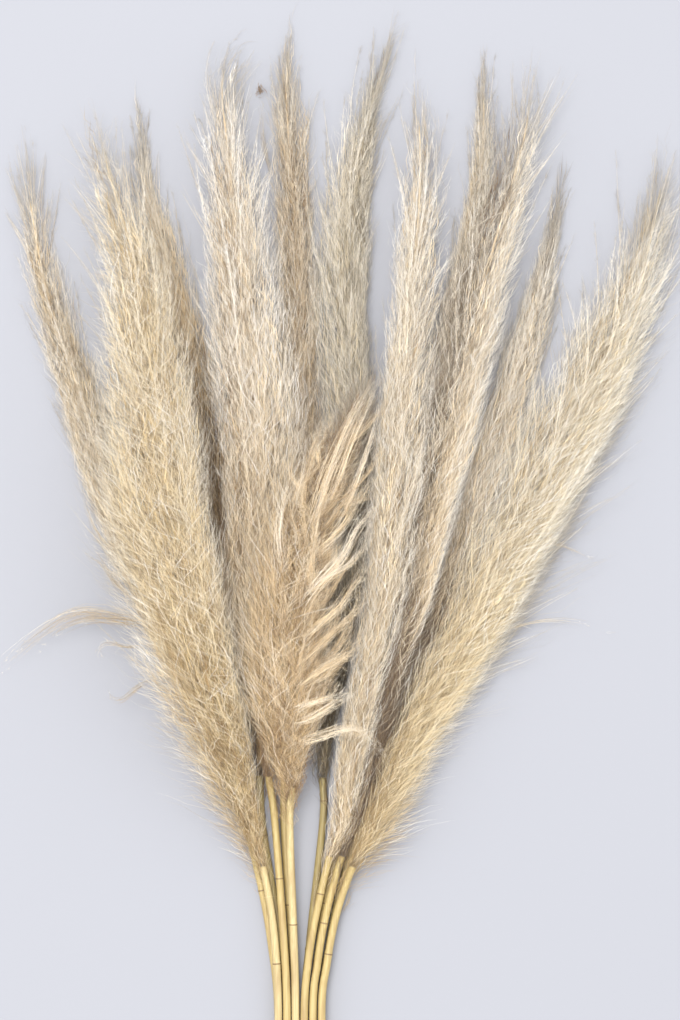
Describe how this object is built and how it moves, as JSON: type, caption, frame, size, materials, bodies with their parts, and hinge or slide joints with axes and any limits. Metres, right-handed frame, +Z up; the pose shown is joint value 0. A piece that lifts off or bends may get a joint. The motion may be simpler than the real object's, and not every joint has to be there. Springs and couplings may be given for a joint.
{
  "type": "bundle of pampas grass",
  "caption": "Loose bunch of cut and dried pampas grass: straw stems side by side at one end, feathery cream, tan and grey plumes fanned out flat at the other.",
  "frame": {"origin": "on the surface that the bunch lies on, under the flat spot on the underside of the dense tan plume, about the middle of the bunch's length", "axes": "+Z up from the surface, +Y from the cut ends of the stems to the tips of the plumes, +X across the fan to the broad golden plume's side"},
  "size_m": [0.703, 1.2034, 0.1064],
  "materials": {
    "stem": "dry straw, faint shine",
    "fluff_grey_beige": "silky dry hairs",
    "fluff_golden_beige": "silky dry hairs",
    "fluff_brown": "silky dry hairs",
    "fluff_cream": "silky dry hairs",
    "fluff_tan": "silky dry hairs",
    "fluff_curly_cream": "silky dry hairs",
    "fluff_grey_green": "silky dry hairs",
    "fluff_light_cream": "silky dry hairs",
    "fluff_pale": "silky dry hairs",
    "fluff_pink_beige": "silky dry hairs",
    "fluff_taupe": "silky dry hairs",
    "fluff_golden_cream": "silky dry hairs"
  },
  "bodies": {
    "root": {"stem_01_outer_left": "stem", "stem_02_broad_left": "stem", "stem_03_thin_brown": "stem", "stem_04_arched_cream": "stem", "stem_05_dense_tan": "stem", "stem_06_curly_front": "stem", "stem_07_grey_green": "stem", "stem_08_tall_cream": "stem", "stem_09_thin_pale": "stem", "stem_10_pink_beige": "stem", "stem_11_thin_taupe": "stem", "stem_12_broad_right": "stem", "plume_01_outer_left": "fluff_grey_beige", "plume_02_broad_left": "fluff_golden_beige", "plume_03_thin_brown": "fluff_brown", "plume_04_arched_cream": "fluff_cream", "plume_05_dense_tan": "fluff_tan", "plume_06_curly_front": "fluff_curly_cream", "plume_07_grey_green": "fluff_grey_green", "plume_08_tall_cream": "fluff_light_cream", "plume_09_thin_pale": "fluff_pale", "plume_10_pink_beige": "fluff_pink_beige", "plume_11_thin_taupe": "fluff_taupe", "plume_12_broad_right": "fluff_golden_cream"}
  },
  "joints": []
}
